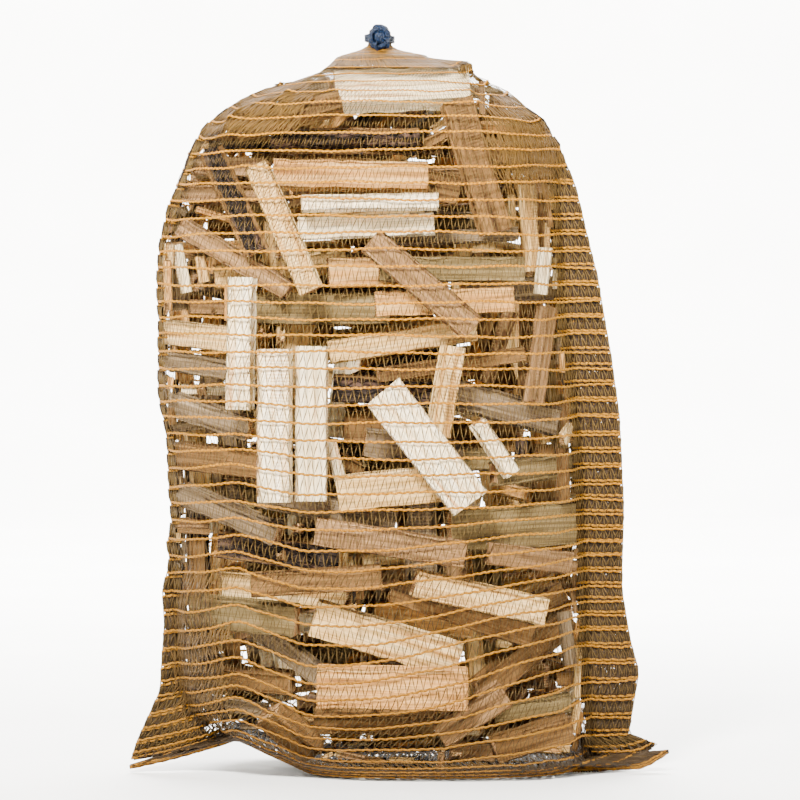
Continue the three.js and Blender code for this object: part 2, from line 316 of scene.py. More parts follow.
def split_wood(name, pale, common, dark):
    """Split wood: long fibres, darker growth lines, stains, and saw marks across in places."""
    nodes = Nodes(name)
    fibres = nodes.noise(nodes.scaled((16, 420, 1)), detail=6, rough=0.65)
    growth = nodes.noise(nodes.scaled((7, 150, 1)), detail=4, distortion=0.5)
    stains = nodes.noise(nodes.scaled((4, 14, 1)), detail=3)
    sawn = nodes.wave(nodes.scaled((1, 0.12, 1)), scale=95, distortion=2.2)
    where_sawn = nodes.ramp(nodes.noise(nodes.scaled((6, 21, 1))), [(0.5, 0.0), (0.62, 1.0)])
    specks = nodes.noise(nodes.scaled((160, 420, 1)), detail=2)
    specks = nodes.ramp(specks, [(0.28, 1.0), (0.36, 0.0)])
    colour = nodes.ramp(growth, [(0.3, dark), (0.46, common), (0.68, pale)])
    colour = nodes.stained_and_shaded(colour, stains, (0.36, 0.75), (0.58, 0.0), common)
    streaks = nodes.ramp(fibres, [(0.36, 0.3), (0.56, 1.0)])
    colour = nodes.mix(0.7, colour, streaks, "MULTIPLY")
    hatch = nodes.math("MULTIPLY", sawn, where_sawn)
    colour = nodes.mix(nodes.math("MULTIPLY", hatch, 0.5), colour, srgb(dark), "MULTIPLY")
    colour = nodes.mix(nodes.math("MULTIPLY", specks, 0.5), colour, srgb("#6b4a30"))
    height = nodes.math("ADD", fibres, nodes.math("MULTIPLY", hatch, 0.35))
    roughness = nodes.ramp(fibres, [(0.3, 0.95), (0.7, 0.72)])
    return nodes.finish(colour, roughness, height, 1.1 * MM)


def sawn_end():
    """A sawn end: part of the growth rings, coarse saw marks and dirty open pores."""
    nodes = Nodes("sawn_end")
    rings = nodes.wave(nodes.scaled((1, 1, 1)), scale=130, distortion=1.6)
    saw = nodes.wave(nodes.scaled((0.5, 1, 1)), scale=260, distortion=0.8)
    pores = nodes.noise(nodes.scaled((900, 900, 1)), detail=3)
    shade = nodes.noise(nodes.scaled((30, 30, 1)), detail=2)
    colour = nodes.ramp(rings, [(0.2, "#96683a"), (0.5, "#b88a58"), (0.9, "#d3ac78")])
    colour = nodes.stained_and_shaded(colour, shade, (0.4, 0.7), (0.65, 0.0), "#7c5636")
    colour = nodes.stained_and_shaded(colour, pores, (0.35, 0.6), (0.5, 0.0), "#4c3220")
    height = nodes.math("ADD", pores, nodes.math("MULTIPLY", saw, 0.5))
    return nodes.finish(colour, 0.9, height, 0.7 * MM)


def bark():
    """Dark bark with long cracks between plates, paler where the outer layer has flaked off."""
    nodes = Nodes("bark")
    plates = nodes.cell_edges(nodes.scaled((60, 150, 1)))
    rough = nodes.noise(nodes.scaled((120, 260, 1)), detail=6, rough=0.7)
    flakes = nodes.noise(nodes.scaled((14, 50, 1)), detail=4, distortion=0.8)
    colour = nodes.ramp(rough, [(0.3, "#17110d"), (0.55, "#30261f"), (0.75, "#4c4038")])
    colour = nodes.stained_and_shaded(colour, flakes, (0.52, 0.0), (0.62, 0.8), "#5e4638")
    cracks = nodes.ramp(plates, [(0.0, 0.0), (0.12, 1.0)])
    colour = nodes.mix(0.75, colour, cracks, "MULTIPLY")
    height = nodes.math("ADD", nodes.math("MULTIPLY", rough, 0.7), cracks)
    return nodes.finish(colour, 0.95, height, 1.6 * MM, specular=0.2)


WOOD = {slot: split_wood(slot, *colours) for slot, colours in TONES.items()}
WOOD["bark"] = bark()
WOOD_LIST = [*WOOD.values(), sawn_end()]
WOOD_INDEX = {slot: i for i, slot in enumerate(WOOD)}
END_INDEX = len(WOOD)


# ---- One split stick ----

class Stick:
    """A stick's place: its middle, its three axes (along, across, through), its section, its slot,
    and the way to the net, where its bark is."""

    def __init__(self, middle, axes, length, section, slot, outward=(0, -1, 0)):
        self.middle, self.axes, self.length = middle, axes, length
        self.section, self.slot, self.outward = section, slot, np.array(outward)
        self.half = np.array([length / 2, *np.abs(section).max(axis=0)])


def stick_of_node(name):
    """Reads a CAD stick's prism: its long axis and the corners of its section."""
    points = np.unique(np.round(mesh_arrays(NODES[name])[0], 6), axis=0)
    along = np.linalg.svd(points - points.mean(axis=0))[2][0]
    along = along * np.sign(along @ np.array([1, 0, 0.5]))
    spot = points @ along
    split = (spot.min() + spot.max()) / 2
    near, far = points[spot < split], points[spot > split]
    along = unit(far.mean(axis=0) - near.mean(axis=0))
    corners = near[:, None] - near.mean(axis=0)
    length = (far.mean(axis=0) - near.mean(axis=0)) @ along
    best = None
    for one in range(len(near)):
        for other in range(len(near)):
            if one == other:
                continue
            across = near[other] - near[one]
            across = unit(across - (across @ along) * along)
            through = np.cross(along, across)
            flat = corners[:, 0] @ np.stack([across, through], axis=1)
            size = np.ptp(flat, axis=0)
            if best is None or size[0] * size[1] < best[0]:
                best = (size[0] * size[1], across, through, flat)
    _, across, through, flat = best
    centre = (flat.min(axis=0) + flat.max(axis=0)) / 2
    middle = (near.mean(axis=0) + far.mean(axis=0)) / 2
    middle = middle + centre[0] * across + centre[1] * through
    flat = flat - centre
    flat = flat[np.argsort(np.arctan2(flat[:, 1], flat[:, 0]))]
    return Stick(middle, np.array([along, across, through]), length, flat, SLOTS[name])


def ridges(source, count, short, long, height, run, around):
    """Random ridges that run along a stick and drift a little round it."""
    total = np.zeros(np.broadcast(run, around).shape)
    for size in np.geomspace(short, long, count):
        phase, turn = source.uniform(0, 1, 2)
        drift, stretch = source.uniform(0.2, 0.9), source.uniform(0.05, 0.22)
        swing = drift * np.sin(2 * np.pi * (run / stretch + turn))
        waves = np.sin(2 * np.pi * (around / size + phase + swing))
        total += height * (size / long) ** 0.75 * (0.5 + 0.5 * waves)
    return total


def side_samples(section, step):
    """Points round a section, none on a corner so that each edge is a little broken."""
    counts, sides = [], list(zip(section, np.roll(section, -1, axis=0)))
    for start, end in sides:
        counts.append(max(3, round(np.linalg.norm(end - start) / step)))
    counts[-1] += sum(counts) % 2
    rows = []
    run = 0.0
    for number, ((start, end), count) in enumerate(zip(sides, counts)):
        size = np.linalg.norm(end - start)
        edge = min(0.7 * MM / size, 0.3)
        share = np.linspace(edge, 1 - edge, count)
        inward = np.array([start[1] - end[1], end[0] - start[0]]) / size
        for t in share:
            spot = start + t * (end - start)
            rows.append([*spot, *inward, run + t * size, t * size, size, number])
        run += size
    return np.array(rows), run


def add_stick(builder, stick, seed, step=2.7 * MM, gap=5.5 * MM, materials=None):
    """Adds a split stick to a builder: torn fibres along its faces, chipped edges, sawn ends.
    All of it lies inside the plain prism, so neighbours stay clear."""
    source = np.random.default_rng(seed)
    sides, perimeter = side_samples(stick.section, step)
    half = stick.length / 2
    inner = np.linspace(-half, half, max(6, round(stick.length / gap)))[1:-1]
    run = np.concatenate([[-half, -half + 0.6 * MM], inner, [half - 0.6 * MM, half]])[:, None]
    place, inward = sides[:, 0:2], sides[:, 2:4]
    around, from_start, size = sides[:, 4:7].T
    number = sides[:, 7].astype(int)
    barky = (stick.slot == "bark") & (inward @ stick.axes[1:3] @ stick.outward < -0.15)
    depth = ridges(source, 7, 2.6 * MM, 26 * MM, 1.1 * MM, run, around)
    lean = source.uniform(0, 2.2 * MM, number.max() + 1) * source.choice([-1, 1], number.max() + 1)
    slope = lean[number]
    depth = depth + np.abs(slope) * (0.5 + np.sign(slope) * run / stick.length)
    for _ in range(2):  # torn ledges
        where, tilt = source.uniform(0, perimeter), source.uniform(-0.12, 0.12)
        edge = around - where - tilt * run
        depth = depth + source.uniform(0.4, 1.5) * MM * smoothstep(0, 1.2 * MM, edge)
        depth = depth - 0.4 * MM * smoothstep(9 * MM, 10 * MM, edge)
    rough = ridges(source, 4, 3 * MM, 11 * MM, 1.6 * MM, around * 0.3, run * np.ones_like(around))
    depth = depth + np.where(barky, rough, 0)
    corner = np.minimum(from_start, size - from_start)
    chips = ridges(source, 5, 5 * MM, 60 * MM, 1.0 * MM, around * 0.05, run * np.ones_like(around))
    depth = depth + np.maximum(chips - 0.9 * MM, 0) * 1.8 * np.exp(-corner / (2.2 * MM))
    depth = np.clip(depth - 0.3 * MM, 0, 0.3 * stick.half[1:].min() * 2)
    flat = place[None] + inward[None] * depth[..., None]
    end = (half - np.abs(run)) / (0.6 * MM)
    flat = flat * np.where(end < 0.5, 0.965, 1.0)[..., None]
    tilt = source.uniform(-0.035, 0.035, 2)
    cut = 0.6 * MM + np.abs(tilt) @ stick.half[1:] + flat @ tilt
    spot = run * (1 - cut / half)
    points = stick.middle + spot[..., None] * stick.axes[0]
    points = points + flat[..., 0:1] * stick.axes[1] + flat[..., 1:2] * stick.axes[2]
    rings, sides_count = spot.shape
    quads = tube_quads(rings, sides_count, False)
    ring, i = quads // sides_count, quads % sides_count
    wrapped = np.where((i == 0) & (i[:, :1] != 0), perimeter, 0)
    shift = source.uniform(0, 40, 2)
    side_uvs = np.stack([spot[ring, i] + shift[0], around[i] + wrapped + shift[1]], axis=-1)
    last = (rings - 1) * sides_count
    caps = np.vstack([strip_cap(0, sides_count, True), strip_cap(last, sides_count, False)])
    cap_uvs = flat.reshape(-1, 2)[caps] + shift
    index = np.full(len(quads), WOOD_INDEX.get(stick.slot))
    if stick.slot == "bark":
        index = np.where(barky[i[:, 0]], index, WOOD_INDEX["split_wood_tan"])
    index = np.concatenate([index, np.full(len(caps), END_INDEX)])
    if materials is not None:
        index = np.searchsorted(materials, index)
    faces, uvs = np.vstack([quads, caps]), np.vstack([side_uvs, cap_uvs])
    builder.add(points.reshape(-1, 3), faces, uvs, index)


def front_sticks():
    """The CAD's named sticks, each as split wood in the same place."""
    placed = []
    for seed, name in enumerate(sorted(n for n in NODES if n.startswith("stick_"))):
        stick = stick_of_node(name)
        placed.append(stick)
        builder = Builder()
        used = {WOOD_INDEX[stick.slot], END_INDEX}
        if stick.slot == "bark":
            used.add(WOOD_INDEX["split_wood_tan"])
        used = sorted(used)
        add_stick(builder, stick, 100 + seed, materials=used)
        piece = builder.make("split_" + name, [WOOD_LIST[i] for i in used])
        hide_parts(name)
    return placed


# ---- The net's skin: the sack's surface as a grid of levels by places round it ----

ROUND = 544  # places round the sack on each level
SLACK_Y = -26 * MM  # where the slack side and the two corners hang, as in the CAD
EASE_HEIGHT = 420 * MM  # above this the net's rows are level
RIGHT_RISE = 42 * MM  # how far the rows climb towards the slack side, low on the sack


def lowest_z(tree, x):
    """The sack's lowest point at x, from below."""
    hits = []
    for y in np.linspace(-30, -10, 5) * MM:
        hit = tree.ray_cast(Vector((x, y, -0.1)), Vector((0, 0, 1)))[0]
        hits.append(hit.z if hit else np.inf)
    return min(hits)


def row_height(points, seam_x, seam_z):
    """The height that a net row through each point has where the rows are level: rows follow the
    bottom seam near the ground and climb to the slack side on the right."""
    x, z = points[:, 0], points[:, 2]
    seam = np.interp(x, seam_x, seam_z)
    rise = RIGHT_RISE * smoothstep(-60 * MM, 190 * MM, x)
    rise = rise * np.exp(-((z - 130 * MM) / (110 * MM)) ** 2)
    level = (z - seam) * EASE_HEIGHT / (EASE_HEIGHT - seam)
    return np.where(z < EASE_HEIGHT, level, z) - rise * smoothstep(0, 40 * MM, z - seam)


def outer_loop(points, triangles, height, level):
    """The outermost loop where the surface crosses a level, anticlockwise from above."""
    above = height > level
    flags = above[triangles]
    crossing = triangles[(flags.any(axis=1)) & (~flags.all(axis=1))]
    step = {}
    spots = {}
    for a, b, c in crossing:
        start = end = None
        for one, other in ((a, b), (b, c), (c, a)):
            if above[one] == above[other]:
                continue
            key = (min(one, other), max(one, other))
            if key not in spots:
                share = (level - height[one]) / (height[other] - height[one])
                spots[key] = points[one] + share * (points[other] - points[one])
            if above[one]:
                start = key
            else:
                end = key
        step[start] = end
    best, best_size = None, 0
    while step:
        key = next(reversed(step))
        loop = []
        while key in step:
            loop.append(spots[key])
            key = step.pop(key)
        loop = np.array(loop)
        x, y = loop[:, 0], loop[:, 1]
        size = abs(np.sum(x * np.roll(y, -1) - y * np.roll(x, -1)))
        if size > best_size:
            best, best_size = loop, size
    return best


def even_loop(loop):
    """A loop with ROUND even places: from the right end over the back to the left end, and back."""
    depth = np.ptp(loop[:, 1]) / 2
    split = SLACK_Y * min(1, depth / (115 * MM))
    nxt = np.roll(loop, -1, axis=0)
    crossing = np.flatnonzero((loop[:, 1] - split) * (nxt[:, 1] - split) <= 0)
    share = (split - loop[crossing, 1]) / (nxt[crossing, 1] - loop[crossing, 1] + 1e-15)
    where = loop[crossing] + share[:, None] * (nxt[crossing] - loop[crossing])
    right, left = np.argmax(where[:, 0]), np.argmin(where[:, 0])
    halves = []
    for one, other in ((right, left), (left, right)):
        first, last = crossing[one] + 1, crossing[other] + 1
        last = last if last > first else last + len(loop)
        run = np.vstack([where[one], loop[np.arange(first, last) % len(loop)], where[other]])
        wanted = np.linspace(0, distances_along(run)[-1], ROUND // 2 + 1)[:-1]
        halves.append(points_along(run, wanted))
    return np.vstack(halves)


def blur_round(grid, width):
    """Smooths a grid round the sack with a bell of the given width in places."""
    reach = int(3 * width)
    weights = np.exp(-0.5 * (np.arange(-reach, reach + 1) / width) ** 2)
    weights /= weights.sum()
    return sum(w * np.roll(grid, k, axis=1) for w, k in zip(weights, range(-reach, reach + 1)))


def net_skin():
    """The sack's outer surface as a grid of points: levels from the ground up to the neck."""
    mesh = bmesh.new()
    mesh.from_mesh(NODES["net_sack"].data)
    bmesh.ops.remove_doubles(mesh, verts=mesh.verts, dist=0.01 * MM)
    bmesh.ops.triangulate(mesh, faces=mesh.faces)
    for _ in range(3):
        long = [e for e in mesh.edges if e.calc_length() > 14 * MM]
        bmesh.ops.subdivide_edges(mesh, edges=long, cuts=1)
        bmesh.ops.triangulate(mesh, faces=mesh.faces)
    points = np.array([v.co[:] for v in mesh.verts])
    triangles = np.array([[v.index for v in f.verts] for f in mesh.faces])
    tree = BVHTree.FromBMesh(mesh)
    mesh.free()
    seam_x = np.arange(LOW[0] + 1 * MM, HIGH[0], 2 * MM)
    seam_z = np.array([lowest_z(tree, x) for x in seam_x])
    good = np.isfinite(seam_z)
    seam_z = np.interp(seam_x, seam_x[good], seam_z[good])
    seam_z = np.convolve(np.pad(seam_z, 4, mode="edge"), np.ones(9) / 9, mode="valid")
    height = row_height(points, seam_x, seam_z)
    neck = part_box("net_sack")[1][2]
    levels = np.concatenate([
        np.arange(4, 690, 6) * MM,
        np.arange(690, neck / MM - 0.4, 1.0) * MM,
    ])
    loops = [even_loop(outer_loop(points, triangles, height, level + 1e-7)) for level in levels]
    return np.array(loops), (seam_x, seam_z), tree


# ---- The other sticks: packed against the net and behind the named ones ----

CLEAR = 0.5 * MM  # the least gap between two sticks
# The packing is made to look full from a place in front and one on the left.
EYE_AWAY, EYE_HEIGHT = 3.6, 0.47
NET_ROOM = 4.6 * MM  # the sticks' corners stay this far inside the skin
FILL_SLOTS = ["split_wood_cream", "split_wood_golden", "split_wood_tan", "split_wood_pink",
              "split_wood_olive", "split_wood_grey", "split_wood_white", "bark"]
FILL_SHARES = [0.2, 0.14, 0.16, 0.14, 0.12, 0.1, 0.06, 0.08]
# Sizes of random sticks: the least and most length, width and thickness in millimetres.
WHOLE = (100, 146), (24, 38), (19, 26)
SPLIT = (70, 140), (17, 30), (15, 24)
SHORT = (45, 100), (12, 24), (11, 18)
BITS = (26, 70), (8, 18), (7, 13)
CHIPS = (18, 44), (6, 13), (5, 9)
CRUMBS = (10, 26), (5, 9), (3.5, 6)


class Pile:
    """The sticks placed so far, as boxes that a new stick is tested against."""

    def __init__(self, sticks, skin_tree):
        self.sticks = list(sticks)
        self.skin_tree = skin_tree
        self.known = 0

    def arrays(self):
        """All sticks' middles, axes and half sizes, gathered again when a stick was added."""
        if len(self.sticks) != self.known:
            self.known = len(self.sticks)
            self.middles = np.array([s.middle for s in self.sticks])
            self.axes = np.array([s.axes for s in self.sticks])
            self.halves = np.array([s.half for s in self.sticks])
        return self.middles, self.axes, self.halves

    def free(self, spots, axes, half):
        """Where along some spots a box is clear of all sticks: some direction shows each pair
        apart."""
        middles, others, halves = self.arrays()
        centre = spots.mean(axis=0)
        reach = np.linalg.norm(half) + np.linalg.norm(halves, axis=1)
        reach = reach + np.linalg.norm(spots - centre, axis=1).max()
        near = np.linalg.norm(middles - centre, axis=1) < reach
        if not near.any():
            return np.ones(len(spots), bool)
        apart = middles[near][None] - spots[:, None]
        others, halves = others[near], halves[near]
        crosses = np.cross(axes[None, :, None], others[:, None, :]).reshape(len(others), 9, 3)
        mine = np.broadcast_to(axes, (len(others), 3, 3))
        ways = np.concatenate([mine, others, crosses], axis=1)
        size = np.linalg.norm(ways, axis=2, keepdims=True)
        ways = ways / np.maximum(size, 1e-9)
        reach_mine = np.abs(ways @ axes.T) @ half
        shares = np.abs(np.einsum("nwc,nkc->nwk", ways, others))
        reach_other = np.einsum("nwk,nk->nw", shares, halves)
        gap = np.abs(np.einsum("nwc,snc->snw", ways, apart)) - reach_mine - reach_other
        gap = np.where(size[..., 0] > 1e-3, gap, -1)
        return (gap.max(axis=2) > CLEAR).all(axis=1)

    def inside(self, middle, axes, half):
        """Whether a box's corners and long edges are inside the net."""
        signs = np.array([[i, j, k] for i in (-1, -0.5, 0.5, 1) for j in (-1, 1) for k in (-1, 1)])
        for corner in middle + (signs * half) @ axes:
            if corner[2] < 7 * MM:
                return False
            spot, normal, _, _ = self.skin_tree.find_nearest(Vector(corner))
            if (Vector(corner) - spot).dot(normal) > -NET_ROOM:
                return False
        return True


def random_section(source, width, thickness):
    """A split stick's section: four uneven corners, sometimes three."""
    w, t = width / 2, thickness / 2

    def skew():
        return 1 - source.uniform(0, 0.3)

    corners = [[-w * skew(), -t], [w, -t * skew()], [w * skew(), t], [-w, t * skew()]]
    if source.uniform() < 0.2:
        corners = [[-w, -t], [w, -t * skew()], [w * source.uniform(-0.4, 0.4), t]]
    return np.array(corners)


def skin_normals(skin):
    """Outward directions on the skin's grid."""
    around = np.roll(skin, -1, axis=1) - np.roll(skin, 1, axis=1)
    return unit(np.cross(around, np.gradient(skin, axis=0)))


def grid_tree(skin):
    """The skin's grid as a closed search tree."""
    levels = len(skin)
    quads = tube_quads(levels, ROUND, False).tolist()
    bottom = list(range(ROUND))[::-1]
    top = [(levels - 1) * ROUND + i for i in range(ROUND)]
    return BVHTree.FromPolygons(skin.reshape(-1, 3).tolist(), [*quads, bottom, top])


def hides_named(middle, axes, half, named):
    """Whether a stick would lie in front of a named one, seen from the front."""
    middles, boxes, halves = named
    signs = np.array([[i, j] for i in (-1, -0.5, 0, 0.5, 1) for j in (-0.8, 0.8)])
    spots = middle + (signs * half[:2]) @ axes[:2]
    apart = spots[:, None] - middles[None]
    behind = apart[..., 1] > 0
    apart[..., 1] = 0
    along = np.abs(np.einsum("pnc,nc->pn", apart, boxes[:, 0])) < halves[:, 0]
    across = np.abs(np.einsum("pnc,nc->pn", apart, boxes[:, 1])) < halves[:, 1]
    return bool((along & across & ~behind).any())


def open_depths(skin, normals, sticks):
    """How far it is from each place of the net straight in to the nearest stick."""
    wood = prism_tree(sticks)
    depths = np.full(skin.shape[:2], 0.15)
    for level in range(0, skin.shape[0] - 40, 2):
        for place in range(0, ROUND, 3):
            hit = wood.ray_cast(Vector(skin[level, place]), Vector(-normals[level, place]), 0.15)[3]
            depths[level:level + 2, place:place + 3] = 0.15 if hit is None else hit
    return depths


def settle(source, pile, named, spots, axes, half, outward, sinks=True):
    """Leaves a stick at the first of the spots where it is clear. If it sinks, it then goes down
    and out against its neighbours."""
    def first_fit(spots):
        for spot in np.array(spots)[pile.free(np.array(spots), axes, half)]:
            if pile.inside(spot, axes, half) and not hides_named(spot, axes, half, named):
                return spot
        return None

    spot = first_fit(spots)
    if spot is None:
        return False
    down, level = np.array([0, 0, -1.0]), unit(outward * (1, 1, 0) + 1e-9)
    moves = ((down, 4, 8), (level, 4, 5), (down, 1.5, 12), (level, 1.5, 3)) if sinks else ()
    for way, step, most in moves:
        for _ in range(most):
            moved = first_fit([spot + way * step * MM])
            if moved is None:
                break
            spot = moved
    slot = source.choice(FILL_SLOTS, p=FILL_SHARES)
    section = random_section(source, 2 * half[1], 2 * half[2])
    pile.sticks.append(Stick(spot, axes, 2 * half[0], section, slot, outward))
    return True


def random_half(source, sizes):
    """Half of a random stick's length, width and thickness."""
    return np.array([source.uniform(*size) for size in sizes]) * MM / 2


def laid_axes(source, outward, turn):
    """Axes of a stick that lies along the net, turned from level by an angle in degrees."""
    level_way = unit(np.cross([0, 0, 1], outward) + 1e-6)
    rise = np.cross(outward, level_way)
    along = math.cos(math.radians(turn)) * level_way + math.sin(math.radians(turn)) * rise
    lean = unit(along + outward * source.normal(0, 0.06))
    through = unit(-outward + lean * (outward @ lean))
    return np.array([lean, np.cross(through, lean), through])


def press_in(source, pile, named, spot, outward, sizes, deepest):
    """Tries one random stick against the net at a spot, further in until it is clear."""
    half = random_half(source, sizes)
    turn = source.choice([source.normal(0, 16), source.normal(90, 14), source.uniform(0, 180)],
                         p=[0.5, 0.25, 0.25])
    first = half[2] + NET_ROOM
    spots = [spot - outward * depth for depth in np.arange(first, first + deepest, 3 * MM)]
    settle(source, pile, named, spots, laid_axes(source, outward, turn), half, outward)


def lay_rows(source, pile, named, skin, normals, sizes, columns, depth):
    """Lays sticks from the ground up in columns round the sack, all at about one depth."""
    first = source.uniform(0, ROUND / columns)
    for column in range(columns):
        level = 0
        while level < len(skin) - 48:
            place = int(first + column * ROUND / columns + source.normal(0, 5)) % ROUND
            half = random_half(source, sizes)
            turn = source.normal(0, 9) if source.uniform() < 0.85 else source.normal(90, 10)
            outward = normals[level, place]
            axes = laid_axes(source, outward, turn)
            rise = range(level, min(level + 7, len(skin) - 46))
            ins = half[2] + NET_ROOM + np.array([2, 6, 11, 16, 22, 29]) * MM + depth
            spots = [skin[k, place] - outward * inset for k in rise for inset in ins]
            placed = settle(source, pile, named, spots, axes, half, outward)
            level += 2 if placed else 3


def clear_lines(pile, eye, pitch):
    """Straight lines through the sack that no stick stops, seen from a place outside it: where
    each goes in and comes out."""
    wood = prism_tree(pile.sticks)
    across = unit(np.array([-eye[1], eye[0], 0.0]))
    lines = []
    for side in np.arange(-250, 250, pitch) * MM:
        for height in np.arange(12, 690, pitch) * MM:
            way = unit(side * across + (0, 0, height) - eye)
            into = pile.skin_tree.ray_cast(Vector(eye), Vector(way))[0]
            if into is None or wood.ray_cast(into, Vector(way))[0] is not None:
                continue
            out = pile.skin_tree.ray_cast(Vector(eye + 2 * EYE_AWAY * way), Vector(-way))[0]
            if (out - into).length > 30 * MM:
                lines.append((np.array(into), np.array(out)))
    return lines


def stop_lines(source, pile, named, eye, sizes, tries):
    """Tries random sticks across each clear line, so that daylight doesn't show through."""
    lines = clear_lines(pile, eye, 6)
    for number in np.repeat(source.permutation(len(lines)), tries):
        into, out = lines[number]
        if into is None:
            continue
        half = random_half(source, sizes)
        turn = source.choice([source.normal(0, 20), source.uniform(0, 180), source.normal(90, 12)])
        back = unit(into - out)
        axes = laid_axes(source, back, turn)
        shift = source.uniform(-0.9, 0.9) * half[0] * axes[0]
        shift = shift + source.uniform(-0.9, 0.9) * half[1] * axes[1]
        spots = into + np.arange(0.1, 0.98, 0.04)[:, None] * (out - into) + shift
        if settle(source, pile, named, spots, axes, half, back, sinks=False):
            lines[number] = (None, None)


def pack_sticks(skin, placed, skin_tree):
    """Fills the sack with random sticks: over the base and under the top, in layers from the net
    in, then smaller and smaller ones across the lines that daylight still passes along, and last
    in what is still open behind the net."""
    source = np.random.default_rng(5)
    normals = skin_normals(skin)
    pile = Pile(placed, skin_tree)
    named = [np.array([getattr(s, key) for s in placed]) for key in ("middle", "axes", "half")]
    down = np.array([0, 0, -1.0])
    for way, spread, height, batches in (
        (down, ((-0.22, 0.22), (-0.11, 0.11)), 2 * MM, ((WHOLE, 300), (SPLIT, 300), (SHORT, 300))),
        (-down, ((-0.12, 0.1), (-0.08, 0.08)), 0.716, ((SPLIT, 120), (SHORT, 200), (BITS, 200))),
    ):
        for sizes, tries in batches:
            for _ in range(tries):
                spot = np.array([*(source.uniform(*side) for side in spread), height])
                press_in(source, pile, named, spot, way, sizes, 40 * MM)
    for depth, columns in ((0, 11), (27, 10), (54, 8), (81, 7)):
        lay_rows(source, pile, named, skin, normals, WHOLE, columns, depth * MM)
    for sizes, tries in ((SPLIT, 4), (SHORT, 6), (SHORT, 5), (BITS, 8), (BITS, 8), (CHIPS, 10),
                         (CRUMBS, 12)):
        stop_lines(source, pile, named, np.array((0, -EYE_AWAY, EYE_HEIGHT)), sizes, tries)
        stop_lines(source, pile, named, np.array((-EYE_AWAY, 0, EYE_HEIGHT)), sizes, 2)
    passes = [
        # sizes, tries, the least open depth to try at, how far a stick may settle
        (SPLIT, 500, 18, 40),
        (SHORT, 1200, 18, 40),
        (BITS, 1200, 14, 30),
    ]
    for sizes, tries, least, deepest in passes:
        depths = open_depths(skin, normals, pile.sticks)[1:-42]
        open_here = np.argwhere(depths > least * MM) + (1, 0)
        chosen = source.choice(open_here, tries)
        for level, place in chosen[np.argsort(chosen[:, 0], kind="stable")]:
            spot, outward = skin[level, place], normals[level, place]
            press_in(source, pile, named, spot, outward, sizes, deepest * MM)
    return pile.sticks[len(placed):]


def skin_distance(point):
    """How far a point is outside the net; inside it the distance is negative."""
    spot, normal, _, _ = skin_tree.find_nearest(Vector(point))
    return (Vector(point) - spot).dot(normal)


def packed_sticks(fills):
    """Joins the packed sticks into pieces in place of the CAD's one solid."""
    share = math.ceil(len(fills) / 2)
    for number in range(2):
        builder = Builder()
        for seed, stick in enumerate(fills[number * share:(number + 1) * share]):
            deep = -skin_distance(stick.middle) > 60 * MM
            step, gap = (8 * MM, 22 * MM) if deep else (3.6 * MM, 9 * MM)
            add_stick(builder, stick, 1000 + number * share + seed, step=step, gap=gap)
        piece = builder.make(f"packed_sticks_{number + 1}", WOOD_LIST)
        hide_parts("packed_sticks")


# ---- The net drawn over the sticks ----

NET_SINK = 11 * MM  # the furthest that the net sinks in from the sack's smooth shape
STRAND_ROOM = 1.9 * MM  # between the middle of a cord and the wood
ROW_GAP = 16.8 * MM
TOP_GAP = 19 * MM
NECK_GAP = 5.5 * MM
UNDER_RINGS = 6  # rings of the grid between the bottom seam and the sack's lowest loop
COLUMNS = 148  # zigzags of tape round the sack in each row
PITCH = ROUND / COLUMNS
# SHADE_TAPE is a dark copy of the tape that is painted shade.
CORD, TAPE, SHADE_TAPE, GATHERED_TAPE = range(4)  # the net's materials, in order
SLACK_ENDS = ((0, 58), (ROUND // 2, 30))  # where the slack side and left fold end, and their reach
# the middle layer, close and dark, is painted shade
SLACK_LAYERS = ((0.25, 1), (0.5, 3), (0.75, 1))  # how deep each inner layer is, and its zigzags
CLOSE = 72 * MM  # the slack net's two sides are this near each other
MOST_GATHERED = 4  # layers of tape
FORWARD = np.array([0, -1.0, 0])
# Lengths of net: below the mouth, with no slack; at the base, trodden under; from the mouth down
# to where the gathers are in shade; and in the neck.
NO_SLACK, TRODDEN, UPPER_PART, NECK_PART = 150 * MM, 40 * MM, 450 * MM, 110 * MM


def prism_tree(sticks):
    """All sticks as plain prisms in one search tree."""
    points, faces = [], []
    for stick in sticks:
        count, first = len(stick.section), len(points)
        for end in (-1, 1):
            for across, through in stick.section:
                spot = stick.middle + end * stick.half[0] * stick.axes[0]
                points.append(list(spot + across * stick.axes[1] + through * stick.axes[2]))
        for i in range(count):
            j = (i + 1) % count
            faces.append([first + i, first + j, first + count + j, first + count + i])
        faces.append([first + i for i in range(count)][::-1])
        faces.append([first + count + i for i in range(count)])
    return BVHTree.FromPolygons(points, faces)


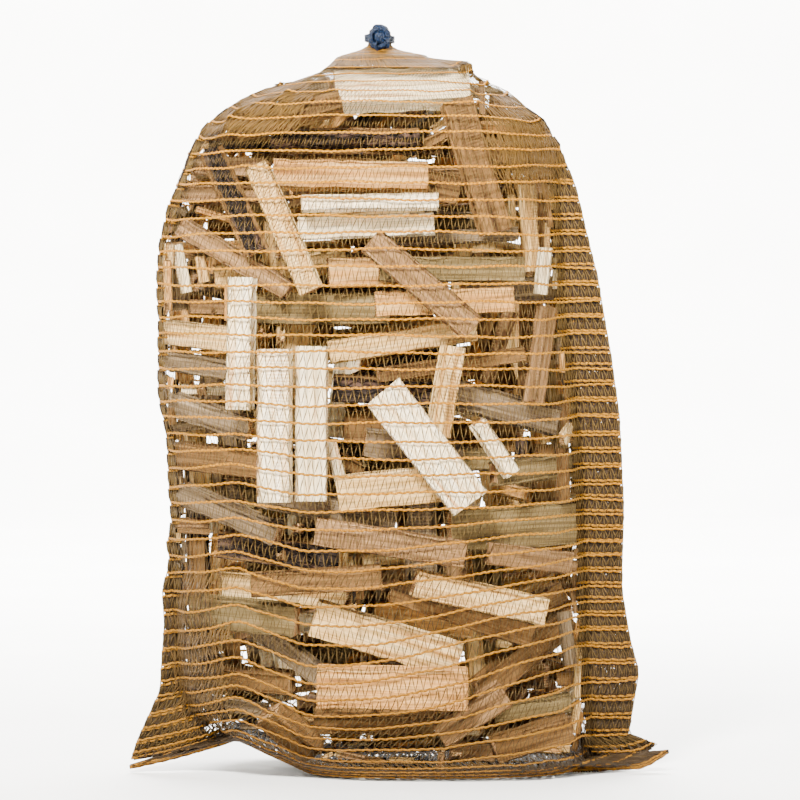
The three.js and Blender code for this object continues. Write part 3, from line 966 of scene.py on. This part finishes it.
def drape(skin, sticks, cad_tree):
    """Draws the skin in until it lies taut on the sticks. The slack side stays where it hangs."""
    inward = -skin_normals(skin)
    wood = prism_tree(sticks)
    room = np.full(skin.shape[:2], NET_SINK)
    slack = np.zeros(skin.shape[:2])
    for level in range(skin.shape[0]):
        for place in range(ROUND):
            spot, way = Vector(skin[level, place]), Vector(inward[level, place])
            wall = cad_tree.ray_cast(spot + way * 0.4 * MM, way, 0.2)[3]
            if wall is None or wall > 3.2 * MM:
                slack[level, place] = 1
                room[level, place] = 0
                continue
            hit = wood.ray_cast(spot, way, 0.05)[3]
            if hit is not None:
                room[level, place] = min(NET_SINK, max(0, hit - STRAND_ROOM))
    lowest = room.copy()
    for rows, places in ((0, 1), (0, -1), (1, 0), (-1, 0)):
        lowest = np.minimum(lowest, np.roll(room, (rows, places), axis=(0, 1)))
    sink = lowest.copy()
    for _ in range(220):
        beside = (np.roll(sink, 1, axis=1) + np.roll(sink, -1, axis=1)) / 2
        above = (np.vstack([sink[1:], sink[-1:]]) + np.vstack([sink[:1], sink[:-1]])) / 2
        sink = np.minimum(lowest, 0.88 * beside + 0.12 * above + 0.02 * MM)
    draped = skin + inward * sink[..., None]
    loose = blur_round(slack, 5)
    x, z = skin[..., 0], skin[..., 2]
    fold = 5 * MM * np.sin(2 * np.pi * (z / 0.21 + 2.2 * x))
    fold = fold + 3 * MM * np.sin(2 * np.pi * (z / 0.083 - 6 * x))
    body = z < 0.6
    draped[..., 1] += loose * fold * body * smoothstep(0, 60 * MM, z)
    return draped


def under_rings(loop, seam_x, seam_z):
    """Rings from the bottom seam out to the sack's lowest loop."""
    seam = loop.copy()
    seam[:, 1] = SLACK_Y
    seam[:, 2] = np.interp(loop[:, 0], seam_x, seam_z) + 1.4 * MM
    rings = np.array([seam + t * (loop - seam) for t in np.arange(UNDER_RINGS) / UNDER_RINGS])
    rings[1:, :, 2] = np.maximum(rings[1:, :, 2], 1.3 * MM)
    return rings


class Net:
    """The draped net: any point on it by distance up from the seam and place round the sack."""

    def __init__(self, grid):
        self.grid = grid
        self.normals = skin_normals(grid)
        steps = np.linalg.norm(np.diff(grid, axis=0), axis=2).mean(axis=1)
        self.up = np.concatenate([[0], np.cumsum(steps)])

    def at(self, distance, place, field=None):
        """The grid's point, or another field's value, at a distance up and a place."""
        field = self.grid if field is None else field
        level = np.interp(distance, self.up, np.arange(len(self.up)))
        level = np.clip(level, 0, len(self.up) - 1.001)
        low, left = np.floor(level).astype(int), np.floor(place).astype(int)
        v, u = (level - low)[..., None], (place - left)[..., None]
        left, right = left % ROUND, (left + 1) % ROUND
        lower = field[low, left] * (1 - u) + field[low, right] * u
        upper = field[low + 1, left] * (1 - u) + field[low + 1, right] * u
        return lower * (1 - v) + upper * v

    def path(self, distance, place):
        """Points on the net and the outward directions there."""
        return self.at(distance, place), unit(self.at(distance, place, self.normals))

    def row(self, number, distance, place):
        """A row's course at places round the sack, with the small waves of a hand-filled net."""
        share, wave = place / ROUND, 0
        for times, drift, height in ((2, 0.13, 1.0), (5, -0.21, 0.8), (13, 0.37, 0.5)):
            wave = wave + height * np.sin(2 * np.pi * (times * share + drift * number))
        return distance + wave * MM * smoothstep(20 * MM, 60 * MM, distance)


def net_materials():
    """The knitted cords and the thin flat tapes between them."""
    nodes = Nodes("net_cord")
    fuzz = nodes.noise(nodes.scaled((700, 3, 1)), detail=3)
    stitches = nodes.wave(nodes.scaled((1, 0, 1)), scale=75, distortion=0.6)
    soil_and_shade = nodes.noise(nodes.scaled((9, 0.3, 1)), detail=3)
    colour = nodes.ramp(fuzz, [(0.3, "#744604"), (0.5, "#a66c0a"), (0.75, "#c88c18")])
    colour = nodes.stained_and_shaded(colour, stitches, (0.1, 0.55), (0.45, 0.0), "#5e3408")
    colour = nodes.stained_and_shaded(colour, soil_and_shade, (0.4, 0.5), (0.6, 0.0), "#8c6420")
    # painted shade: the cord is darker towards the ground
    colour = nodes.low_down(colour, 0.5, 0.7, "#5a3c14")
    height = nodes.math("ADD", fuzz, stitches)
    cord = nodes.finish(colour, 0.7, height, 0.25 * MM, specular=0.1)
    tapes = []
    for name, colours, worn in (
        ("net_tape", ("#42320f", "#604a24", "#80683a"), "#4c3818"),
        # a dark copy of the tape, which is painted shade
        ("net_tape_painted_shade", ("#1c140a", "#33261a", "#4c3a24"), "#20170d"),
        ("net_tape_gathered", ("#3e2a0e", "#5e4218", "#7e5c26"), "#44300f"),
    ):
        nodes = Nodes(name)
        streaks = nodes.noise(nodes.scaled((60, 6, 1)), detail=3)
        wear = nodes.noise(nodes.scaled((14, 0.5, 1)), detail=2)
        colour = nodes.ramp(streaks, list(zip((0.3, 0.55, 0.8), colours)))
        colour = nodes.stained_and_shaded(colour, wear, (0.42, 0.5), (0.62, 0.0), worn)
        # painted shade: the tapes are darker towards the ground
        colour = nodes.low_down(colour, 0.4, 0.65, "#2a1e0c")
        tapes.append(nodes.finish(colour, 0.6, streaks, 0.12 * MM, specular=0.12))
    return [cord, *tapes]


def net_rows(net, source):
    """How far up each row of cord lies: stretched apart over the top, close in the neck."""
    edge = net.up[UNDER_RINGS]
    distances = [0.0, 0.5 * edge]
    top = net.up[-1]
    while distances[-1] < top - 3 * MM:
        here = distances[-1]
        gap = np.interp(here, [top - 230 * MM, top - 150 * MM, top - 70 * MM, top - 20 * MM],
                        [ROW_GAP, TOP_GAP, TOP_GAP, NECK_GAP])
        here = max(here + gap + source.uniform(-0.9, 0.9) * MM, edge)
        distances.append(here)
    distances[-1] = top - 0.5 * MM
    return distances


def add_cord(builder, path, normals, closed, width=1.0):
    """A knitted cord, thick and thin by turns and a little wavy."""
    count = np.arange(len(path))
    side = unit(np.cross(np.roll(path, -1, axis=0) - np.roll(path, 1, axis=0), normals))
    if not closed:
        side[[0, -1]] = side[[1, -2]]
    swing = 0.5 * MM * np.cos(2 * np.pi * (count - 0.4) / 4)
    room = np.linalg.norm(np.roll(path, -1, axis=0) - path, axis=1) * 2.2
    slim = np.clip(room / (3.6 * MM), 0.4, 1) * width
    widths = np.where(count % 2, 3.0, 2.3) * MM * slim
    course = path + side * swing[:, None]
    builder.tube(course, normals, widths, 1.9 * MM, CORD, closed, 3 if closed else 4)


def zigzag(source, first, count):
    """Places along a zigzag tape and how far up each is between its two rows, 0 to 1."""
    column = np.repeat(first + np.arange(count) * PITCH, 4)
    lean = PITCH * np.tile([0, 0.09, 0.18, 0.59], count) + source.uniform(-0.22, 0.22, count * 4)
    return column + lean, np.tile([1, 0.5, 0, 0.5], count)


def knitted_net(net):
    """Rows of knitted cord round the sack with a zigzag tape between each pair of rows."""
    materials = net_materials()
    source = np.random.default_rng(3)
    distances = net_rows(net, source)
    places = np.arange(ROUND, dtype=float)
    groups = np.array_split(np.arange(len(distances)), 4)
    for number, rows in enumerate(groups):
        builder = Builder()
        for row in rows:
            course = net.row(row, distances[row], places)
            add_cord(builder, *net.path(course, places), True)
            if row + 1 == len(distances):
                continue
            spots, share = zigzag(source, 0, COLUMNS)
            low = net.row(row, distances[row], spots)
            high = net.row(row + 1, distances[row + 1], spots)
            path, normals = net.path(low * (1 - share) + high * share, spots)
            columns_apart = np.linalg.norm(np.roll(path, -4, axis=0) - path, axis=1)
            widths = np.clip(columns_apart * 0.15, 0.4 * MM, 1.15 * MM)
            neck = net.up[-1] - distances[row] < 60 * MM
            builder.tube(path, normals, widths, 0.4 * MM, CORD if neck else TAPE, True, 3)
        piece = builder.make(f"knitted_net_{number + 1}", materials)
        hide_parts("net_sack")
    folded_net(net, distances, materials)
    bunched_mouth(materials)


def gathered(points):
    """How thickly the net is gathered: over both shoulders, in the folds low on the left, in the
    neck and where it is trodden under at the base."""
    x, z = points[:, 0] / MM, points[:, 2] / MM
    # Where the left shoulder, the right shoulder and the folds are, and their reach, in mm.
    patches = [np.exp(-((x - across) / wide) ** 2 - ((z - up) / high) ** 2)
               for across, up, wide, high in (
                   (-150, 672, 54, 34), (125, 630, 38, 48), (-200, 110, 26, 85))]
    neck = 0.52 * smoothstep(696, 712, z)
    above_seam = z - np.interp(points[:, 0], seam_x, seam_z) / MM
    base = 0.6 * np.exp(-((above_seam / 22) ** 2))
    return np.maximum.reduce([*patches, neck, base])


def slack_run(net, low, end, reach):
    """Places in the slack net on one level, from its end inward, while its sides are close."""
    spots = end + np.arange(0.0, reach)
    front, back = (net.at(np.full(reach, low), s) for s in (2 * end - spots, spots))
    near = np.abs(front[:, 1] - back[:, 1]) < CLOSE
    return spots[:reach if near.all() else int(np.argmin(near))]


def slack_layers(net, distances, source, builder):
    """The slack net's inner folds: a dark close layer of painted shade between two open ones with
    heavier cords.
    """
    for row in range(len(distances) - 1):
        if distances[row + 1] > net.up[-1] - NO_SLACK:
            break
        for end, reach in SLACK_ENDS:
            for layer, kinds in SLACK_LAYERS:
                open_layer = kinds == 1
                lift = 0.2 if layer < 0.5 else -0.2
                low, high = (distances[row + k] + lift * ROW_GAP for k in (0, 1))
                spots = slack_run(net, low, end, reach)
                if len(spots) < 10:
                    continue

                def inner(up, place):
                    return (1 - layer) * net.at(up, 2 * end - place) + layer * net.at(up, place)

                if open_layer:
                    path = inner(np.full(len(spots), low), spots)
                    add_cord(builder, path, FORWARD, False, 1.25)
                width, first = (1.3 * MM, end) if open_layer else (6.5 * MM, end + 1.8)
                for kind in range(kinds):
                    places, share = zigzag(source, first + 1.2 * kind, int(len(spots) / PITCH))
                    path = inner(low + share * (high - low), places)
                    # the close layer's dark tape is painted shade inside the slack side
                    tape = TAPE if open_layer else SHADE_TAPE
                    builder.tube(path, FORWARD, width, 0.36 * MM, tape)


def gather_layers(net, distances, source, builder):
    """More tapes where the net is gathered, lying over each other at many angles; the dark ones are
    painted shade.
    """
    for row in range(len(distances) - 1):
        low, high = distances[row], distances[row + 1]
        amount = gathered(net.at(np.full(ROUND, (low + high) / 2), np.arange(0.0, ROUND)))
        for layer in range(MOST_GATHERED):
            runs = np.flatnonzero(amount > 0.24 + 0.17 * layer)
            for run in np.split(runs, np.flatnonzero(np.diff(runs) > 1) + 1):
                if len(run) < 10:
                    continue
                first = run[0] + source.uniform(0, PITCH)
                spots, share = zigzag(source, first, int(len(run) / PITCH))
                spots = spots + source.uniform(-5, 5) * share
                spots = spots + source.uniform(-1.0, 1.0, len(spots))
                path, outward = net.path(low + (share * 1.3 - 0.15) * (high - low), spots)
                path = path + outward * (0.2 - 0.4 * layer) * MM
                trodden = low < net.up[UNDER_RINGS] + TRODDEN
                width = source.uniform(1.3, 2.4) * (2.2 if trodden else 1) * MM
                low_down = low < net.up[-1] - UPPER_PART
                # Painted shade: the inner layers low down, the trodden base and every other layer
                # in the neck get the dark tape.
                dark = trodden or layer > 0 and low_down
                if low > net.up[-1] - NECK_PART:
                    dark = layer % 2
                material = SHADE_TAPE if dark else GATHERED_TAPE
                builder.tube(path, outward, width, 0.4 * MM, material)


def folded_net(net, distances, materials):
    """The net's extra layers, in its slack side and corners and where it is gathered; their dark
    tapes are painted shade.
    """
    source = np.random.default_rng(8)
    for name, lay in (("net_inner_folds_and_painted_shade", slack_layers), ("net_gathers_and_painted_shade", gather_layers)):
        builder = Builder()
        lay(net, distances, source, builder)
        piece = builder.make(name, materials)
        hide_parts("net_sack")


def tie_place():
    """The tie's lowest and highest corners, the middle of its turns and their outer radius."""
    low, high = (np.array(corner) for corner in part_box("tie"))
    outer = (high[0] - low[0]) / 2
    return low, high, np.array([(low[0] + high[0]) / 2, high[1] - outer, 0]), outer


def bunched_mouth(materials):
    """The net's mouth, bunched up inside the tie."""
    source = np.random.default_rng(9)
    low, high, middle, outer = tie_place()
    builder = Builder()
    strands, steps = 44, 7
    for number in range(strands):
        turn = 2.4 * number  # the golden angle, which spreads the strands evenly
        way = np.array([math.cos(turn), math.sin(turn), 0])
        rise = np.linspace(low[2] - 14 * MM, high[2] - source.uniform(1, 5) * MM, steps)
        sway = source.normal(0, 0.5 * MM, (steps, 2))
        spread = (outer - 5 * MM) * math.sqrt((number + 0.5) / strands)
        path = middle + spread * way + np.column_stack([sway, rise])
        material = CORD if number % 3 else GATHERED_TAPE
        builder.tube(path, FORWARD, 2.8 * MM, 1.8 * MM, material)
    piece = builder.make("bunched_mouth", materials)
    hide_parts("net_sack")


# ---- The tie ----

def twine_material():
    nodes = Nodes("blue_twine")
    plies = nodes.wave(nodes.scaled((1, 0.4, 1)), scale=90, distortion=0.5)
    fibres = nodes.noise(nodes.scaled((400, 20, 1)), detail=4)
    colour = nodes.ramp(fibres, [(0.3, "#02080f"), (0.55, "#04162e"), (0.8, "#0c3464")])
    colour = nodes.stained_and_shaded(colour, plies, (0.1, 0.6), (0.5, 0.0), "#03070f")
    return [nodes.finish(colour, 0.5, nodes.math("ADD", plies, fibres), 0.3 * MM, specular=0.2)]


def smooth_path(points, step):
    """A smooth path through points, with even steps."""
    padded = np.vstack([2 * points[0] - points[1], points, 2 * points[-1] - points[-2]])
    run = []
    for a, b, c, d in zip(padded, padded[1:], padded[2:], padded[3:]):
        t = np.linspace(0, 1, 24, endpoint=False)[:, None]
        run.append(0.5 * (2 * b + (c - a) * t + (2 * a - 5 * b + 4 * c - d) * t ** 2
                          + (3 * b - a - 3 * c + d) * t ** 3))
    run = np.vstack([*run, points[-1]])
    length = distances_along(run)[-1]
    return points_along(run, np.linspace(0, length, max(4, round(length / step))))


def rope(builder, path, diameter, plies=2, pitch=7 * MM):
    """Twisted twine along a path: its plies bulge and turn along it."""
    sides = 12
    steep = np.abs(unit(np.gradient(path, axis=0))[:, 2:])
    reference = np.where(steep < 0.9, [[0, 0, 1.0]], [[0, 1.0, 0]])
    points, quads = sweep(path, reference, diameter, diameter, sides)
    rings = points.reshape(-1, sides, 3)
    run = distances_along(path)
    angle = 2 * np.pi * np.arange(sides) / sides
    bulge = 1 + 0.13 * np.cos(plies * angle[None] - 2 * np.pi * run[:, None] / pitch)
    ends = np.ones(len(path))
    ends[[0, -1]] = 0.75
    rings = path[:, None] + (rings - path[:, None]) * (bulge * ends[:, None])[..., None]
    points = rings.reshape(-1, 3)
    builder.add(points, quads, sweep_uvs(points, quads, sides), 0)


def tie():
    """Three turns of twine round the gathered neck, a ball knot in front and two short ends."""
    low, _, centre, outer = tie_place()
    radius = outer - 1.4 * MM
    base = low[2] + 3.4 * MM
    builder = Builder()
    turns = np.linspace(0, 3 * 2 * np.pi, 120)
    rise = base + 2.6 * MM * turns / (2 * np.pi) + 0.4 * MM * np.sin(turns * 1.7)
    coil = np.stack([radius * np.sin(turns), -radius * np.cos(turns), rise], axis=1)
    rope(builder, coil + centre, 2.6 * MM)
    t = np.linspace(0, 1, 330)
    turn, swing = 2 * np.pi * 9 * t, 2.7 * np.pi * t
    ring = np.stack([np.cos(turn), 0.55 * np.sin(turn), 0.84 * np.sin(turn)], axis=1)
    ball = np.stack([ring[:, 0] * np.cos(swing) - ring[:, 2] * np.sin(swing), ring[:, 1],
                     ring[:, 0] * np.sin(swing) + ring[:, 2] * np.cos(swing)], axis=1)
    ball *= ((8.2 + 2.6 * t) * MM)[:, None]
    middle = centre + np.array([0, -radius - 4 * MM, base + 4 * MM])
    rope(builder, ball * (1, 0.75, 1.12) + middle, 3.4 * MM)
    rope(builder, 0.62 * ball[:, [1, 0, 2]] + middle, 3.8 * MM)  # fills the knot's inside
    front = middle + (2 * MM, 0, 0)
    ends = [
        [(0, 0, 0), (-4, -7, -4), (-6, -8, -9), (-4, -6, -14)],
        [(0, 0, 0), (4, -7, -2), (7, -8, -6), (6, -6, -11)],
    ]
    for end in ends:
        rope(builder, smooth_path(np.array(end) * MM + front, 0.8 * MM), 2.6 * MM)
    piece = builder.make("wound_tie", twine_material())
    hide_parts("tie")


# ---- The room ----

FLOOR, BEND, WALL = 4.4, 1.2, 5.0  # radius of the flat floor, of the bend, and the wall's height


def backdrop():
    """A round pale floor that curves up into a wall, the same from every side."""
    bend = np.linspace(0, np.pi / 2, 16)
    profile = [(FLOOR + BEND * math.sin(a), BEND - BEND * math.cos(a)) for a in bend]
    profile.append((FLOOR + BEND, WALL))
    turns = 2 * np.pi * np.arange(64) / 64
    points = [(r * math.cos(t), r * math.sin(t), z) for r, z in profile for t in turns]
    faces = tube_quads(len(profile), 64, False)[:, ::-1].tolist()
    mesh = bpy.data.meshes.new("floor")
    mesh.from_pydata(points, [], [list(range(64)), *faces])
    mesh.shade_smooth()
    nodes = Nodes("pale_floor")
    grain = nodes.noise(nodes.scaled((3, 3, 3), "Object"), detail=2)
    colour = nodes.ramp(grain, [(0.3, "#eeedea"), (0.7, "#f4f3f0")])
    mesh.materials.append(nodes.finish(colour, 0.8, grain, 0.1 * MM, specular=0.2))
    add_object("floor", mesh)


def look_at(obj, target):
    obj.rotation_euler = (Vector(target) - obj.location).to_track_quat("-Z", "Y").to_euler()


def area_light(name, location, size, power, colour, target=(0, 0, 0.35)):
    data = bpy.data.lights.new(name, "AREA")
    data.size, data.energy, data.color = size, power, colour
    light = add_object(name, data)
    light.location = location
    look_at(light, target)


def studio():
    area_light("key", (-0.45, -1.75, 1.6), 0.4, 235, (1.0, 0.98, 0.94), (0, 0, 0.5))
    area_light("fill", (2.4, -2.6, 1.1), 1.8, 30, (0.96, 0.98, 1.0))
    area_light("top", (0.2, 0.7, 2.8), 2.2, 70, (1.0, 1.0, 1.0))
    area_light("wall", (0, 2.4, 3.4), 3.0, 1700, (1.0, 1.0, 1.0), (0, 4.8, 0.2))
    world = bpy.data.worlds.new("studio")
    world.use_nodes = True
    world.node_tree.nodes["Background"].inputs["Color"].default_value = (0.95, 0.97, 1.0, 1.0)
    world.node_tree.nodes["Background"].inputs["Strength"].default_value = 0.2
    bpy.context.scene.world = world


CAMERA_AWAY = 3.6
FRAME_HEIGHT = 0.8  # what the picture's height spans at the sack


def camera():
    data = bpy.data.cameras.new("camera")
    data.sensor_width = 36
    data.lens = 36 * CAMERA_AWAY / FRAME_HEIGHT
    eye = add_object("camera", data)
    middle_z = (LOW[2] + HIGH[2]) / 2
    eye.location = (0, -CAMERA_AWAY + SLACK_Y, middle_z + 0.1)
    look_at(eye, (0, SLACK_Y, middle_z))
    bpy.context.scene.camera = eye


# ---- The sack ----

camera()
studio()
backdrop()
skin, (seam_x, seam_z), cad_tree = net_skin()
skin_tree = grid_tree(skin)
named = front_sticks()
fills = pack_sticks(skin, named, skin_tree)
packed_sticks(fills)
draped = drape(blur_round(skin, 1.5), [*named, *fills], cad_tree)
knitted_net(Net(np.vstack([under_rings(draped[0], seam_x, seam_z), draped])))
tie()
